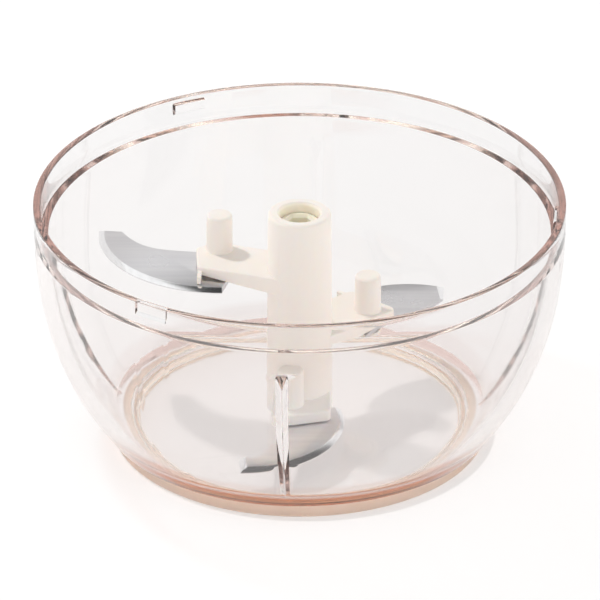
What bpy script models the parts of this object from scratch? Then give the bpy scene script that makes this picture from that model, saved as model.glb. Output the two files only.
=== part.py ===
"""Mini food chopper: a clear tinted bowl on its foot ring, and a unit of three blades that lifts out.

Metres, +Z up. The origin is on the table under the centre of the bowl. Its front faces -Y.
The blade unit turns anticlockwise seen from above: each blade leads with its convex, ground edge.
"""

import math

import bmesh
import bpy
from mathutils import Matrix, Vector

# Clearances between separate pieces
SEAT_GAP = 0.0003  # between pieces that rest on, or are pressed into, each other
RUN_GAP = 0.0003  # between pieces that turn past each other
SWEEP_GAP = 0.0006  # under the hub, above the bowl's floor
CUT_MARGIN = 0.001  # how far a cutter stands out of what it cuts
SHARP_ANGLE = math.radians(25)  # edges that turn by more than this are shaded as corners

# Bowl
BOWL_H = 0.063
RIM_R = 0.0655
CORNER_R = 0.0487  # outer corner where the wall meets the underside
CORNER_Z = 0.0045
WALL_SWELL = 2.7  # how fast the wall turns upright above the corner
WALL = 0.0036
COLLAR_DEPTH = 0.0077  # from the rim down to the ledge a lid would stand on
COLLAR_WALL = 0.0018
RIM_EASE = 0.0005
FLOOR_TOP = 0.0052
FLOOR_T = 0.0020
FILLET_R = 0.0108  # between floor and wall, inside
BOSS_R = 0.0040
BOSS_H = 0.0060
WALL_STEPS = 9
FILLET_STEPS = 6
BOWL_SEGMENTS = 72

# Four upright ribs on the wall, a three-cornered section each
RIB_AZIMUTHS = [math.radians(a) for a in (-94, -4, 86, 176)]
RIB_W = 0.0030
RIB_DEPTH = 0.0024  # where the sloped top facet starts
RIB_FOOT_DEPTH = 0.0004
RIB_TOP = 0.0487
RIB_FOOT = 0.0080
RIB_SLOPE = 0.0056  # how far the sloped top facet falls
RIB_FOOT_SLOPE = 0.0008  # and how far the foot runs out
RIB_STEPS = 8
RIB_BEDDING = 0.0006  # how deep the ribs and lugs are rooted in the wall

# Three lugs inside the collar, which a lid turns under
LUG_AZIMUTHS = [math.radians(a) for a in (-124, -4, 116)]
LUG_LENGTH = 0.0088
LUG_H = 0.0033
LUG_DROP = 0.0009  # below the rim
LUG_DEPTH = 0.0010
LUG_STEPS = 4

# Foot: a rib under the floor, with an elastic ring stretched round it
FOOT_RIB_R = 0.0430
FOOT_RIB_T = 0.0016
RING_T = 0.0031
RING_LIP_T = 0.0009
RING_EASE = 0.0008

# Spindle, thrust washer and bush
PIN_R = 0.0020
PIN_RISE = 0.0180  # above the boss
PIN_CHAMFER = 0.0005
PIN_SEAT = 0.0008  # floor left under the pin
WASHER_T = 0.0008
WASHER_R = 0.0038
BUSH_WALL = 0.0014

# Hub of the blade unit
HUB_TOP = 0.0602
HUB_TOP_R = 0.0078
HUB_FOOT_R = 0.0082
HUB_EASE = 0.0006
HUB_SEGMENTS = 48
CROWN_GAP = 0.0010  # over the spindle's end
SOCKET_BORE_R = 0.0050
SOCKET_DROP = 0.0025  # the drive socket's top, below the hub's
SOCKET_LENGTH = 0.0200
SOCKET_AF = 0.0062  # across the flats of the six-sided drive hole

# Arms, posts and the staked pegs that hold the blades
POST_R = 0.0033
POST_H = 0.0098
POST_EASE = 0.0005
POST_TRAIL = 0.0045  # post centre, behind the arm's radial line
ARM_TO_BLADE = 0.0033  # arm top down to blade top
ARM_ROOT_OUT = 0.0020  # where an arm starts, inside the hub
ARM_ROOT_INSET = 0.0006  # an arm's root is this much narrower than the hub on each side
ARM_CORNER_R = 0.0016
LIP_T = 0.0010  # end lip that comes down on the blade
LIP_SETBACK = 0.12  # share of the end left free of the lip at the back corner
LIP_REACH = 0.0034  # how far the lip goes on past the arm's front corner
LIP_SKEW = 0.0006  # and how far that end of it leans towards the hub
STADIUM_STEPS = 10
PAD_W = 0.0056
PEG_R = 0.0013
PEG_SPACING = 0.0062
PEG_HEAD_R = 0.0019
PEG_HEAD_T = 0.0006
KEEPER_T = 0.0011
KEEPER_MARGIN = 0.0013  # round each peg's head

# Blades
BLADE_T = 0.0010
BEVEL_W = 0.0014
EDGE_T = 0.0002
LEAD_STEPS = 22
BACK_STEPS = 14

# One entry for each blade. Distances are along the arm (out) and behind its radial line (trail).
TIERS = {
    "upper": {
        "azimuth": math.radians(164),
        "arm_top": 0.0445,
        "tip_t": 0.0022,
        "arm_out_front": 0.0245,
        "arm_out_back": 0.0278,
        "arm_front": 0.0059,
        "arm_back": 0.0080,
        "arm_end_back": 0.0040,
        "post_out": 0.0219,
        "root_out": 0.0170,
        "root_lead": 0.0102,
        "root_back": 0.0080,
        "lead_r": 0.0310,
        "wall_gap": 0.0012,
        "tip_turn": math.radians(13.2),
        "tip_width": 0.0052,
        "tip_cut": math.radians(170.9),
        "waist": ((0.37, 0.0105), (0.46, 0.0025)),
    },
    "middle": {
        "azimuth": math.radians(44),
        "arm_top": 0.0277,
        "tip_t": 0.0022,
        "arm_out_front": 0.0235,
        "arm_out_back": 0.0248,
        "arm_front": 0.0059,
        "arm_back": 0.0092,
        "arm_end_back": 0.0092,
        "post_out": 0.0192,
        "root_out": 0.0143,
        "root_lead": 0.0070,
        "root_back": 0.0086,
        "lead_r": 0.0226,
        "wall_gap": 0.0082,
        "tip_turn": math.radians(4.6),
        "tip_width": 0.0066,
        "tip_cut": math.radians(135.8),
        "waist": ((0.52, -0.0030), (0.46, 0.0040)),
    },
    "lower": {
        "azimuth": math.radians(-76),
        "arm_top": 0.0120,
        "tip_t": 0.0030,
        "arm_out_front": 0.0147,
        "arm_out_back": 0.0147,
        "arm_front": 0.0043,
        "arm_back": 0.0110,
        "arm_end_back": 0.0110,
        "post_out": 0.0088,
        "root_out": 0.0075,
        "root_lead": 0.0086,
        "root_back": 0.0082,
        "lead_r": 0.0244,
        "wall_gap": 0.0079,
        "tip_turn": math.radians(35.5),
        "tip_width": 0.0054,
        "tip_cut": math.radians(188.5),
        "waist": ((0.10, 0.0035), (0.52, 0.0095)),
    },
}

# Levels that follow from the sizes above
RIM_Z = BOWL_H
LEDGE_Z = RIM_Z - COLLAR_DEPTH
UNDERSIDE_Z = FLOOR_TOP - FLOOR_T
BOSS_TOP = FLOOR_TOP + BOSS_H
HUB_FOOT = FLOOR_TOP + SWEEP_GAP
WASHER_Z = BOSS_TOP + SEAT_GAP
SHOULDER_Z = WASHER_Z + WASHER_T + SEAT_GAP
PIN_TOP = BOSS_TOP + PIN_RISE
CROWN_Z = PIN_TOP + CROWN_GAP
SKIRT_R = BOSS_R + 2 * RUN_GAP
BUSH_R = PIN_R + RUN_GAP + BUSH_WALL
RING_R = FOOT_RIB_R + SEAT_GAP + RING_T
SOCKET_TOP = HUB_TOP - SOCKET_DROP
SOCKET_FOOT = SOCKET_TOP - SOCKET_LENGTH

parts = None
cutters = None


def clear_scene():
    for obj in list(bpy.data.objects):
        bpy.data.objects.remove(obj)


def collection(name, hidden=False):
    made = bpy.data.collections.new(name)
    made.hide_render = hidden
    bpy.context.scene.collection.children.link(made)
    return made


def material(name, colour, roughness, metallic=0.0, transmission=0.0, ior=1.45):
    made = bpy.data.materials.new(name)
    made.use_nodes = True
    shader = made.node_tree.nodes["Principled BSDF"]
    shader.inputs["Base Color"].default_value = (*colour, 1.0)
    shader.inputs["Roughness"].default_value = roughness
    shader.inputs["Metallic"].default_value = metallic
    shader.inputs["Transmission Weight"].default_value = transmission
    shader.inputs["IOR"].default_value = ior
    return made


def add(name, mesh, paint=None):
    """Link a mesh as a visible part, or as a hidden cutter when it has no material."""
    obj = bpy.data.objects.new(name, mesh)
    if paint is None:
        cutters.objects.link(obj)
        obj.hide_render = True
        obj.display_type = "WIRE"
    else:
        parts.objects.link(obj)
        mesh.materials.append(paint)
    return obj


def shading():
    """A node group that shades a mesh smooth, except across its sharp edges."""
    group = bpy.data.node_groups.new("smooth by angle", "GeometryNodeTree")
    group.interface.new_socket("Mesh", in_out="INPUT", socket_type="NodeSocketGeometry")
    group.interface.new_socket("Mesh", in_out="OUTPUT", socket_type="NodeSocketGeometry")
    entry = group.nodes.new("NodeGroupInput")
    result = group.nodes.new("NodeGroupOutput")
    angle = group.nodes.new("GeometryNodeInputMeshEdgeAngle")
    sharp = group.nodes.new("FunctionNodeCompare")
    sharp.operation = "GREATER_THAN"
    sharp.inputs["B"].default_value = SHARP_ANGLE
    faces = group.nodes.new("GeometryNodeSetShadeSmooth")
    edges = group.nodes.new("GeometryNodeSetShadeSmooth")
    edges.domain = "EDGE"
    edges.inputs["Shade Smooth"].default_value = False
    group.links.new(entry.outputs[0], faces.inputs["Geometry"])
    group.links.new(faces.outputs[0], edges.inputs["Geometry"])
    group.links.new(angle.outputs["Unsigned Angle"], sharp.inputs["A"])
    group.links.new(sharp.outputs["Result"], edges.inputs["Selection"])
    group.links.new(edges.outputs[0], result.inputs[0])
    return group


def turned(name, profile, paint=None, segments=HUB_SEGMENTS):
    """Turn a profile of (radius, height) points round Z. One that never meets the axis makes a ring."""
    count = len(profile)
    edges = [(i, i + 1) for i in range(count - 1)]
    if profile[0][0] > 0:
        edges.append((count - 1, 0))
    mesh = bpy.data.meshes.new(name)
    mesh.from_pydata([(r, 0.0, z) for r, z in profile], edges, [])
    obj = add(name, mesh, paint)
    screw = obj.modifiers.new("turn", "SCREW")
    screw.axis = "Z"
    screw.steps = segments
    screw.render_steps = segments
    screw.use_merge_vertices = True
    screw.merge_threshold = 0.00001
    return obj


def mesh_from(bm, name):
    bmesh.ops.recalc_face_normals(bm, faces=bm.faces)
    mesh = bpy.data.meshes.new(name)
    bm.to_mesh(mesh)
    bm.free()
    return mesh


def prism(name, outline, low, high, paint=None):
    """Extrude a flat outline of (x, y) points from one height to another."""
    bm = bmesh.new()
    face = bm.faces.new([bm.verts.new((x, y, low)) for x, y in outline])
    raised = bmesh.ops.extrude_face_region(bm, geom=[face])["geom"]
    top = [item for item in raised if isinstance(item, bmesh.types.BMVert)]
    bmesh.ops.translate(bm, verts=top, vec=(0, 0, high - low))
    mesh = mesh_from(bm, name)
    return add(name, mesh, paint)


def cylinder(name, radius, low, high, segments, paint=None):
    bm = bmesh.new()
    centre = Matrix.Translation((0.0, 0.0, (low + high) / 2))
    size = {"radius1": radius, "radius2": radius, "depth": high - low}
    bmesh.ops.create_cone(bm, cap_ends=True, segments=segments, matrix=centre, **size)
    return add(name, mesh_from(bm, name), paint)


def loft(name, rings, paint=None):
    """Skin rings of equal point counts, from the lowest to the highest, and close both ends."""
    bm = bmesh.new()
    rows = [[bm.verts.new(point) for point in ring] for ring in rings]
    for low, high in zip(rows, rows[1:]):
        for i, _ in enumerate(low):
            j = (i + 1) % len(low)
            bm.faces.new((low[i], low[j], high[j], high[i]))
    bm.faces.new(list(reversed(rows[0])))
    bm.faces.new(rows[-1])
    mesh = mesh_from(bm, name)
    return add(name, mesh, paint)


def boolean(obj, other, operation):
    step = obj.modifiers.new(f"{operation.lower()} {other.name}", "BOOLEAN")
    step.operation = operation
    step.solver = "EXACT"
    step.object = other


def rounded(corners, radius, steps=4):
    """Replace each corner of a convex or concave outline by a short arc."""
    outline = []
    count = len(corners)
    for i, corner in enumerate(corners):
        here = Vector(corner)
        before = Vector(corners[i - 1]) - here
        after = Vector(corners[(i + 1) % count]) - here
        half = before.angle(after) / 2
        reach = min(radius / math.tan(half), before.length * 0.45, after.length * 0.45)
        start = here + before.normalized() * reach
        end = here + after.normalized() * reach
        for k in range(steps + 1):
            f = k / steps
            outline.append(tuple((1 - f) ** 2 * start + 2 * f * (1 - f) * here + f**2 * end))
    return outline


# The bowl's wall: an outer curve and, inside it, the same curve moved in by the wall thickness


def outer_r(z):
    drop = (RIM_Z - z) / (RIM_Z - CORNER_Z)
    return RIM_R - (RIM_R - CORNER_R) * max(drop, 0.0) ** WALL_SWELL


def moved_in(z, distance):
    """The point (radius, height) at this distance inwards from the outer curve at height z."""
    step = 0.0001
    slope = (outer_r(z + step) - outer_r(z - step)) / (2 * step)
    length = math.hypot(1.0, slope)
    return outer_r(z) - distance / length, z + distance * slope / length


def height_where(distance, height):
    """The outer curve's height whose moved-in point lies at this height."""
    low = CORNER_Z - BOWL_H
    high = RIM_Z
    for _ in range(50):
        middle = (low + high) / 2
        if moved_in(middle, distance)[1] < height:
            low = middle
        else:
            high = middle
    return middle


def fillet_centre():
    height = FLOOR_TOP + FILLET_R
    return moved_in(height_where(WALL + FILLET_R, height), WALL + FILLET_R)[0], height


def inner_r(z):
    centre_r, centre_z = fillet_centre()
    wall_r = moved_in(height_where(WALL, z), WALL)[0]
    if z >= centre_z:
        return wall_r
    across = FILLET_R**2 - (centre_z - z) ** 2
    return min(wall_r, centre_r + math.sqrt(max(across, 0.0)))


def into_wall(z, distance):
    """The point (radius, height) at this distance from the wall's inner face at height z, into the wall."""
    step = 0.0001
    slope = (inner_r(z + step) - inner_r(z - step)) / (2 * step)
    length = math.hypot(1.0, slope)
    return inner_r(z) + distance / length, z - distance * slope / length


def rib_depth(z):
    share = (z - RIB_FOOT) / (RIB_TOP - RIB_SLOPE - RIB_FOOT)
    return RIB_FOOT_DEPTH + (RIB_DEPTH - RIB_FOOT_DEPTH) * max(share, 0.0)


def bowl_profile():
    pin_hole_r = PIN_R + SEAT_GAP
    pin_hole_z = UNDERSIDE_Z + PIN_SEAT
    points = [
        (0.0, pin_hole_z),
        (pin_hole_r, pin_hole_z),
        (pin_hole_r, BOSS_TOP),
        (BOSS_R, BOSS_TOP),
        (BOSS_R, FLOOR_TOP),
    ]
    centre_r, centre_z = fillet_centre()
    tangent = height_where(WALL + FILLET_R, centre_z)
    touch_r, touch_z = moved_in(tangent, WALL)
    end_angle = math.atan2(touch_z - centre_z, touch_r - centre_r)
    for k in range(FILLET_STEPS + 1):
        angle = -math.pi / 2 + (end_angle + math.pi / 2) * k / FILLET_STEPS
        points.append((centre_r + FILLET_R * math.cos(angle), centre_z + FILLET_R * math.sin(angle)))
    ledge = height_where(WALL, LEDGE_Z)
    for k in range(1, WALL_STEPS + 1):
        points.append(moved_in(tangent + (ledge - tangent) * k / WALL_STEPS, WALL))
    collar_r = RIM_R - COLLAR_WALL
    points += [
        (collar_r, LEDGE_Z),
        (collar_r, RIM_Z - RIM_EASE),
        (collar_r + RIM_EASE, RIM_Z),
        (RIM_R - RIM_EASE, RIM_Z),
        (RIM_R, RIM_Z - RIM_EASE),
    ]
    for k in range(1, WALL_STEPS + 1):
        z = RIM_Z - (RIM_Z - CORNER_Z) * k / WALL_STEPS
        points.append((outer_r(z), z))
    foot_z = RING_LIP_T + SEAT_GAP
    points += [
        (FOOT_RIB_R, CORNER_Z),
        (FOOT_RIB_R, foot_z),
        (FOOT_RIB_R - FOOT_RIB_T, foot_z),
        (FOOT_RIB_R - FOOT_RIB_T, UNDERSIDE_Z),
        (0.0, UNDERSIDE_Z),
    ]
    return points


def add_rib(name, azimuth):
    """A three-cornered rib: two corners in the wall and one edge that points at the axis."""
    facet_z = RIB_TOP - RIB_SLOPE
    rings = [rib_ring(RIB_FOOT - RIB_FOOT_SLOPE, -RIB_BEDDING / 2, azimuth)]
    for k in range(RIB_STEPS + 1):
        z = RIB_FOOT + (facet_z - RIB_FOOT) * k / RIB_STEPS
        rings.append(rib_ring(z, rib_depth(z), azimuth))
    rings.append(rib_ring(RIB_TOP, -RIB_BEDDING / 2, azimuth))
    return loft(name, rings)


def rib_ring(z, depth, azimuth):
    turn = Matrix.Rotation(azimuth, 3, "Z")
    base_r, base_z = into_wall(z, RIB_BEDDING)
    edge_r, edge_z = into_wall(z, -depth)
    corners = ((edge_r, 0.0, edge_z), (base_r, -RIB_W / 2, base_z), (base_r, RIB_W / 2, base_z))
    return [turn @ Vector(corner) for corner in corners]


def add_lug(name, azimuth):
    """A short bar that follows the collar's inner face."""
    collar_r = RIM_R - COLLAR_WALL
    high = RIM_Z - LUG_DROP
    arc = LUG_LENGTH / collar_r
    section = (
        (collar_r - LUG_DEPTH, high - LUG_H),
        (collar_r + RIB_BEDDING, high - LUG_H),
        (collar_r + RIB_BEDDING, high),
        (collar_r - LUG_DEPTH, high),
    )
    rings = []
    for k in range(LUG_STEPS + 1):
        turn = Matrix.Rotation(azimuth + arc * (k / LUG_STEPS - 0.5), 3, "Z")
        rings.append([turn @ Vector((r, 0.0, z)) for r, z in section])
    return loft(name, rings)


def build_bowl():
    clear = material("tinted clear plastic", (0.93, 0.78, 0.73), 0.06, transmission=1.0, ior=1.5)
    bowl = turned("bowl", bowl_profile(), clear, BOWL_SEGMENTS)
    for k, azimuth in enumerate(RIB_AZIMUTHS):
        boolean(bowl, add_rib(f"rib {k}", azimuth), "UNION")
    for k, azimuth in enumerate(LUG_AZIMUTHS):
        boolean(bowl, add_lug(f"lug {k}", azimuth), "UNION")
    return bowl


def build_foot_ring():
    soft = material("translucent soft rubber", (0.90, 0.84, 0.80), 0.55)
    inner = FOOT_RIB_R + SEAT_GAP
    top = CORNER_Z - SEAT_GAP
    profile = [
        (inner, top),
        (RING_R, top),
        (RING_R, RING_EASE),
        (RING_R - RING_EASE, 0.0),
        (FOOT_RIB_R - FOOT_RIB_T, 0.0),
        (FOOT_RIB_R - FOOT_RIB_T, RING_LIP_T),
        (inner, RING_LIP_T),
    ]
    return turned("nonslip_ring", profile, soft, BOWL_SEGMENTS)


def build_spindle():
    steel = material("spindle steel", (0.62, 0.61, 0.60), 0.25, metallic=1.0)
    low = UNDERSIDE_Z + PIN_SEAT + SEAT_GAP
    profile = [
        (0.0, PIN_TOP),
        (PIN_R - PIN_CHAMFER, PIN_TOP),
        (PIN_R, PIN_TOP - PIN_CHAMFER),
        (PIN_R, low + PIN_CHAMFER),
        (PIN_R - PIN_CHAMFER, low),
        (0.0, low),
    ]
    return turned("spindle_pin", profile, steel, 32)


def build_washer():
    acetal = material("washer acetal", (0.86, 0.85, 0.82), 0.4)
    inner = PIN_R + RUN_GAP
    top = WASHER_Z + WASHER_T
    profile = [(inner, top), (WASHER_R, top), (WASHER_R, WASHER_Z), (inner, WASHER_Z)]
    return turned("thrust_washer", profile, acetal, 32)


def build_bush():
    acetal = material("bush acetal", (0.80, 0.79, 0.76), 0.4)
    inner = PIN_R + RUN_GAP
    top = CROWN_Z - SEAT_GAP
    profile = [(inner, top), (BUSH_R, top), (BUSH_R, SHOULDER_Z), (inner, SHOULDER_Z)]
    return turned("spindle_bush", profile, acetal, 32)


def build_drive_socket():
    nylon = material("socket nylon", (0.88, 0.76, 0.52), 0.45)
    socket = cylinder("drive_socket", SOCKET_BORE_R - SEAT_GAP, SOCKET_FOOT, SOCKET_TOP, 32, nylon)
    corner_r = SOCKET_AF / math.sqrt(3)
    hole = cylinder("drive hole", corner_r, SOCKET_FOOT - CUT_MARGIN, SOCKET_TOP + CUT_MARGIN, 6)
    boolean(socket, hole, "DIFFERENCE")
    return socket


# The blade unit's tiers are drawn in (out, trail) and turned to their azimuth


def place(tier, point):
    """(out, trail) to (x, y)."""
    out, trail = point
    c = math.cos(tier["azimuth"])
    s = math.sin(tier["azimuth"])
    return out * c + trail * s, out * s - trail * c


def placed(tier, points):
    return [place(tier, point) for point in points]


def blade_top(tier):
    return tier["arm_top"] - ARM_TO_BLADE


def peg_points(tier):
    """One peg under the post and one ahead of it, clear of the hub."""
    out = max(tier["post_out"], HUB_FOOT_R + SEAT_GAP + KEEPER_MARGIN + PEG_HEAD_R)
    return [(out, POST_TRAIL), (out, POST_TRAIL - PEG_SPACING)]


def hub_r(z):
    share = (z - HUB_FOOT) / (HUB_TOP - HUB_FOOT)
    return HUB_FOOT_R + (HUB_TOP_R - HUB_FOOT_R) * share


def arm_outline(tier):
    half = hub_r(tier["arm_top"]) - ARM_ROOT_INSET
    corners = [
        (ARM_ROOT_OUT, -half),
        (tier["arm_out_front"], -tier["arm_front"]),
        (tier["arm_out_back"], tier["arm_end_back"]),
    ]
    if tier["arm_back"] > tier["arm_end_back"]:
        # A shoulder carries the arm's back edge round the post.
        corners.append((tier["post_out"] + POST_R * 0.6, tier["arm_back"]))
        corners.append((tier["post_out"] - POST_R, tier["arm_back"]))
    corners.append((ARM_ROOT_OUT, half))
    return corners


def add_arm(name, tier):
    """The arm's plate: flat on top, its underside rising from the blade's root to the tip."""
    tip_z = tier["arm_top"] - tier["tip_t"]
    seat_z = blade_top(tier) + SEAT_GAP
    outline = placed(tier, rounded(arm_outline(tier), ARM_CORNER_R))
    arm = prism(f"{name} arm", outline, tip_z, tier["arm_top"])
    out_x, out_y = place(tier, (1.0, 0.0))
    fall = (tip_z - seat_z) / (tier["arm_out_front"] - tier["root_out"])
    for vertex in arm.data.vertices:
        if vertex.co.z < (tip_z + tier["arm_top"]) / 2:
            out = vertex.co.x * out_x + vertex.co.y * out_y
            vertex.co.z -= max(tier["arm_out_front"] - out, 0.0) * fall
    return arm


def add_end_lip(name, tier):
    """A thin wall along the arm's end that comes down on the blade and goes on past the arm's front."""
    front = Vector((tier["arm_out_front"], -tier["arm_front"]))
    back = Vector((tier["arm_out_back"], tier["arm_end_back"]))
    thick = Vector((LIP_T, 0.0))
    set_in = thick / 4
    start = front - Vector((LIP_SKEW, LIP_REACH)) - set_in
    bend = front.lerp(back, LIP_SETBACK) - set_in
    end = front.lerp(back, 1 - LIP_SETBACK) - set_in
    outline = [start, bend, end, end - thick, bend - thick, start - thick]
    high = tier["arm_top"] - tier["tip_t"] / 2
    return prism(f"{name} lip", placed(tier, outline), blade_top(tier) + SEAT_GAP, high)


def stadium(tier, half_width):
    """An outline round both pegs of a tier, with round ends."""
    (out, high), (_, low) = peg_points(tier)
    outline = []
    for k in range(STADIUM_STEPS + 1):
        angle = math.pi * k / STADIUM_STEPS
        outline.append((out + half_width * math.cos(angle), high + half_width * math.sin(angle)))
    for k in range(STADIUM_STEPS + 1):
        angle = math.pi + math.pi * k / STADIUM_STEPS
        outline.append((out + half_width * math.cos(angle), low + half_width * math.sin(angle)))
    return placed(tier, outline)


def add_pad(name, tier):
    high = tier["arm_top"] - tier["tip_t"] / 2
    return prism(f"{name} pad", stadium(tier, PAD_W / 2), blade_top(tier) + SEAT_GAP, high)


def peg_profile(tier, growth, high, low):
    """A peg with a staked head, sunk in the keeper's underside. Growth makes the matching hole."""
    keeper_z = keeper_foot(tier)
    return [
        (0.0, high),
        (PEG_R + growth, high),
        (PEG_R + growth, keeper_z + PEG_HEAD_T + growth / 2),
        (PEG_HEAD_R + growth, keeper_z + growth / 2),
        (PEG_HEAD_R + growth, low),
        (0.0, low),
    ]


def keeper_foot(tier):
    return blade_top(tier) - BLADE_T - SEAT_GAP - KEEPER_T


def at(obj, tier, point):
    x, y = place(tier, point)
    obj.location = (x, y, 0.0)
    return obj


def add_post(name, tier):
    top = tier["arm_top"] + POST_H
    profile = [
        (0.0, top),
        (POST_R - POST_EASE, top),
        (POST_R, top - POST_EASE),
        (POST_R, tier["arm_top"] - tier["tip_t"] / 2),
        (0.0, tier["arm_top"] - tier["tip_t"] / 2),
    ]
    post = turned(f"{name} post", profile, segments=28)
    return at(post, tier, (tier["post_out"], POST_TRAIL))


def add_pegs(name, tier):
    keeper_z = keeper_foot(tier)
    high = tier["arm_top"] - tier["tip_t"] / 2
    profile = peg_profile(tier, 0.0, high, keeper_z)
    del profile[4]
    pegs = []
    for k, point in enumerate(peg_points(tier)):
        peg = turned(f"{name} peg {k}", profile, segments=16)
        pegs.append(at(peg, tier, point))
    return pegs


def build_hub():
    cream = material("cream plastic", (0.90, 0.84, 0.76), 0.35)
    profile = [
        (0.0, HUB_TOP),
        (HUB_TOP_R - HUB_EASE, HUB_TOP),
        (HUB_TOP_R, HUB_TOP - HUB_EASE),
        (HUB_FOOT_R, HUB_FOOT),
        (0.0, HUB_FOOT),
    ]
    hub = turned("blade_hub", profile, cream)
    for name, tier in TIERS.items():
        boolean(hub, add_arm(name, tier), "UNION")
        boolean(hub, add_post(name, tier), "UNION")
        if tier["tip_t"] < ARM_TO_BLADE - SEAT_GAP:
            boolean(hub, add_end_lip(name, tier), "UNION")
            boolean(hub, add_pad(name, tier), "UNION")
        for peg in add_pegs(name, tier):
            boolean(hub, peg, "UNION")
    bush_bore = BUSH_R + SEAT_GAP
    foot_bore = [
        (0.0, CROWN_Z),
        (bush_bore, CROWN_Z),
        (bush_bore, SHOULDER_Z),
        (SKIRT_R, SHOULDER_Z),
        (SKIRT_R, HUB_FOOT - CUT_MARGIN),
        (0.0, HUB_FOOT - CUT_MARGIN),
    ]
    boolean(hub, turned("foot bore", foot_bore, segments=32), "DIFFERENCE")
    socket_bore = [
        (0.0, HUB_TOP + CUT_MARGIN),
        (SOCKET_BORE_R, HUB_TOP + CUT_MARGIN),
        (SOCKET_BORE_R, SOCKET_FOOT - SEAT_GAP),
        (0.0, SOCKET_FOOT - SEAT_GAP),
    ]
    boolean(hub, turned("socket bore", socket_bore, segments=40), "DIFFERENCE")
    return hub


def reach(tier):
    """How far the blade's tip is from the spindle: short of the ribs by the tier's gap."""
    z = blade_top(tier)
    return inner_r(z) - rib_depth(z) - tier["wall_gap"]


def lead_arc(tier, inset):
    """The cutting edge: an arc from the blade's root to its tip. Inset gives the top of its bevel."""
    root = Vector((tier["root_out"], -tier["root_lead"]))
    tip = Vector((math.cos(tier["tip_turn"]), math.sin(tier["tip_turn"]))) * reach(tier)
    chord = tip - root
    rise = math.sqrt(max(tier["lead_r"] ** 2 - (chord.length / 2) ** 2, 0.0))
    centre = (root + tip) / 2 + Vector((-chord.y, chord.x)).normalized() * rise
    start = math.atan2(root.y - centre.y, root.x - centre.x)
    end = math.atan2(tip.y - centre.y, tip.x - centre.x) - inset / tier["lead_r"]
    radius = (root - centre).length - inset
    return [
        (centre.x + radius * math.cos(angle), centre.y + radius * math.sin(angle))
        for angle in (start + (end - start) * k / LEAD_STEPS for k in range(LEAD_STEPS + 1))
    ]


def back_edge(tier, inset):
    """The hollow edge behind, a cubic curve from the cut-off tip to the root."""
    cut = tier["tip_cut"]
    tip = Vector(lead_arc(tier, 0.0)[-1])
    start = tip + Vector((math.cos(cut), math.sin(cut))) * tier["tip_width"]
    end = Vector((tier["root_out"], tier["root_back"]))
    along = end - start
    across = Vector((-along.y, along.x)).normalized()
    first, second = (start + along * share + across * depth for share, depth in tier["waist"])
    late = inset / (3 * (first - start).length)
    points = []
    for k in range(BACK_STEPS + 1):
        f = late + (1 - late) * k / BACK_STEPS
        g = 1 - f
        points.append(tuple(g**3 * start + 3 * g * g * f * first + 3 * g * f * f * second + f**3 * end))
    return points


def build_blade(name, tier):
    """A flat blade whose edge is ground from the root, along the cutting edge and round the tip."""
    steel = material(f"{name} blade steel", (0.70, 0.69, 0.70), 0.22, metallic=1.0)
    top = blade_top(tier)
    outer = placed(tier, lead_arc(tier, 0.0) + back_edge(tier, 0.0))
    ground = placed(tier, lead_arc(tier, BEVEL_W) + back_edge(tier, BEVEL_W))
    rings = [
        [(x, y, z) for x, y in outline]
        for outline, z in ((outer, top - BLADE_T), (outer, top - BLADE_T + EDGE_T), (ground, top))
    ]
    blade = loft(f"blade_{name}", rings, steel)
    low = top - BLADE_T - CUT_MARGIN
    high = top + CUT_MARGIN
    for k, point in enumerate(peg_points(tier)):
        hole = cylinder(f"{name} blade hole {k}", PEG_R + SEAT_GAP, low, high, 20)
        boolean(blade, at(hole, tier, point), "DIFFERENCE")
    notch_r = HUB_FOOT_R + SEAT_GAP
    if tier["root_out"] < notch_r:
        boolean(blade, cylinder(f"{name} hub notch", notch_r, low, high, 64), "DIFFERENCE")
    return blade


def build_keeper(name, tier):
    cream = material(f"{name} keeper plastic", (0.88, 0.82, 0.74), 0.4)
    low = keeper_foot(tier)
    outline = stadium(tier, PEG_HEAD_R + KEEPER_MARGIN)
    keeper = prism(f"blade_keeper_{name}", outline, low, low + KEEPER_T, cream)
    profile = peg_profile(tier, SEAT_GAP, low + KEEPER_T + CUT_MARGIN, low - CUT_MARGIN)
    for k, point in enumerate(peg_points(tier)):
        hole = turned(f"{name} keeper hole {k}", profile, segments=16)
        boolean(keeper, at(hole, tier, point), "DIFFERENCE")
    return keeper


def main():
    global parts, cutters
    clear_scene()
    parts = collection("mini_food_chopper")
    cutters = collection("cutters", hidden=True)
    build_bowl()
    build_foot_ring()
    build_spindle()
    build_washer()
    build_bush()
    build_drive_socket()
    build_hub()
    for name, tier in TIERS.items():
        build_blade(name, tier)
        build_keeper(name, tier)
    group = shading()
    for obj in parts.objects:
        obj.modifiers.new("shading", "NODES").node_group = group
    bpy.context.view_layer.update()


main()
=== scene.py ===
"""Looks of the mini food chopper: a clear rose-tinted bowl and its lift-out blade unit.

Metres, +Z up, the origin on the table under the centre of the bowl, which faces -Y.
"""

import math

import bmesh
import bpy
from mathutils import Matrix, Vector


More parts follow.
